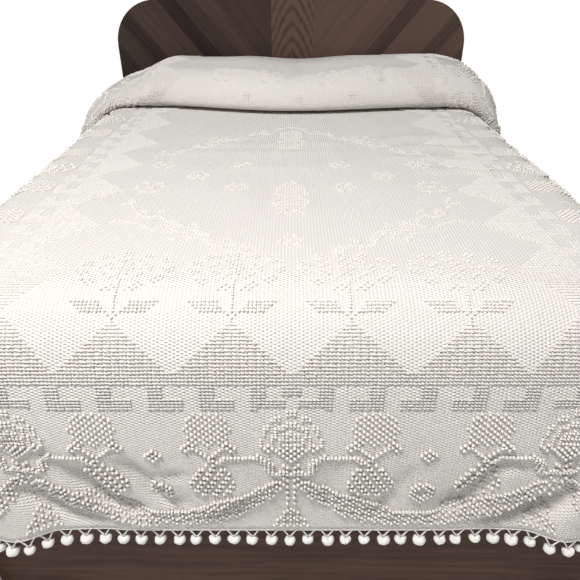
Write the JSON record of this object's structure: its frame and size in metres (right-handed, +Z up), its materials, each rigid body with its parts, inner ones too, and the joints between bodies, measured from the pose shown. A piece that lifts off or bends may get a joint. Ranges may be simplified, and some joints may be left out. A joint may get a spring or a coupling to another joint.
{
  "type": "chenille bedspread on a bed",
  "caption": "Ivory hobnail chenille bedspread draped over a full-size bed with pillows, its foot and side hems edged with a ball fringe.",
  "frame": {"origin": "on the floor under the middle of the mattress, at the foot of the centre leg", "axes": "+X across the bed, +Y from its foot to its head, +Z up"},
  "size_m": [1.7286, 2.1172, 1.067],
  "materials": {
    "chenille": "matte cotton with raised tufts",
    "fringe": "fluffy cotton balls",
    "ticking": "plain woven cotton",
    "walnut": "dark satin veneer"
  },
  "bodies": {
    "root": {"bedspread": "chenille", "fringe_foot": "fringe", "fringe_left": "fringe", "fringe_right": "fringe", "mattress": "ticking", "pillow_left": "ticking", "pillow_right": "ticking", "headboard": "walnut", "foot_panel": "walnut", "side_rail_left": "walnut", "side_rail_right": "walnut", "deck": "walnut", "centre_leg": "walnut"}
  },
  "joints": []
}
